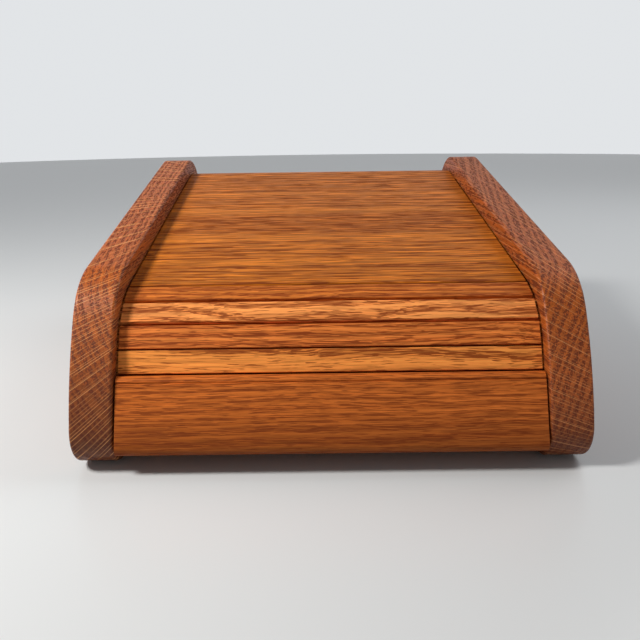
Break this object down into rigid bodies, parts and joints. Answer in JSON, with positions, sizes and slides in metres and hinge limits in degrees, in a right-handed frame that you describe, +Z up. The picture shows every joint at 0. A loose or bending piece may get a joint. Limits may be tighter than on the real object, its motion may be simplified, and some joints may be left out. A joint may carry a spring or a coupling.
{
  "type": "tambour lid box",
  "caption": "Desk box with sloping shaped side panels and a sliding tambour lid: a wide top board, slats on canvas round the nose and a proud front rail.",
  "frame": {"origin": "on the table, under the middle of the box's overall width and depth", "axes": "+X to the right across the box, +Y from the front rail to the back board, +Z up"},
  "size_m": [0.235, 0.2834, 0.1265],
  "materials": {
    "oak_left_side": "satin oil",
    "oak_right_side": "satin oil",
    "oak_top": "satin oil",
    "oak_slat_1": "satin oil",
    "oak_slat_2": "satin oil",
    "oak_slat_3": "satin oil",
    "oak_slat_4": "satin oil",
    "oak_rail": "satin oil",
    "oak_case": "satin oil",
    "dowel_wood": "matt",
    "canvas": "matt",
    "felt": "matt"
  },
  "bodies": {
    "box": {"left_side": "oak_left_side", "right_side": "oak_right_side", "bottom_board": "oak_case", "back_board": "oak_case", "left_dowels": "dowel_wood", "right_dowels": "dowel_wood", "left_front_pad": "felt", "right_front_pad": "felt", "left_rear_pad": "felt", "right_rear_pad": "felt"},
    "lid_board": {"top_board": "oak_top", "canvas_under_board": "canvas"},
    "lid_slat_1": {"slat_1": "oak_slat_1", "canvas_on_slat_1": "canvas"},
    "lid_slat_2": {"slat_2": "oak_slat_2", "canvas_on_slat_2": "canvas"},
    "lid_slat_3": {"slat_3": "oak_slat_3", "canvas_on_slat_3": "canvas"},
    "lid_slat_4": {"slat_4": "oak_slat_4", "canvas_on_slat_4": "canvas"},
    "lid_rail": {"front_rail": "oak_rail", "canvas_on_rail": "canvas"}
  },
  "joints": [
    {"name": "lid_slide", "type": "slide", "parent": "box", "child": "lid_board", "axis": [0, 0.9792, 0.2028], "range_m": [0, 0.04]},
    {"name": "slat_1_turn", "type": "hinge", "parent": "box", "child": "lid_slat_1", "pos_m": [0, -0.0365, -0.11277], "axis": [-1, 0, 0], "range_deg": [0, 11.78]},
    {"name": "slat_2_turn", "type": "hinge", "parent": "box", "child": "lid_slat_2", "pos_m": [0, -0.07185, 0.01745], "axis": [-1, 0, 0], "range_deg": [0, 36.14]},
    {"name": "slat_3_turn", "type": "hinge", "parent": "box", "child": "lid_slat_3", "pos_m": [0, -0.08095, 0.03609], "axis": [-1, 0, 0], "range_deg": [0, 55.51]},
    {"name": "slat_4_turn", "type": "hinge", "parent": "box", "child": "lid_slat_4", "pos_m": [0, -0.07786, 0.03245], "axis": [-1, 0, 0], "range_deg": [0, 49.8]},
    {"name": "rail_turn", "type": "hinge", "parent": "box", "child": "lid_rail", "pos_m": [0, -0.04626, 0.01138], "axis": [-1, 0, 0], "range_deg": [0, 25.98]}
  ],
  "couplings": [
    {"joint": "slat_1_turn", "follows": "lid_slide", "rad_per_m": 5.1356},
    {"joint": "slat_2_turn", "follows": "lid_slide", "rad_per_m": 15.765},
    {"joint": "slat_3_turn", "follows": "lid_slide", "rad_per_m": 24.216},
    {"joint": "slat_4_turn", "follows": "lid_slide", "rad_per_m": 21.729},
    {"joint": "rail_turn", "follows": "lid_slide", "rad_per_m": 11.336}
  ]
}
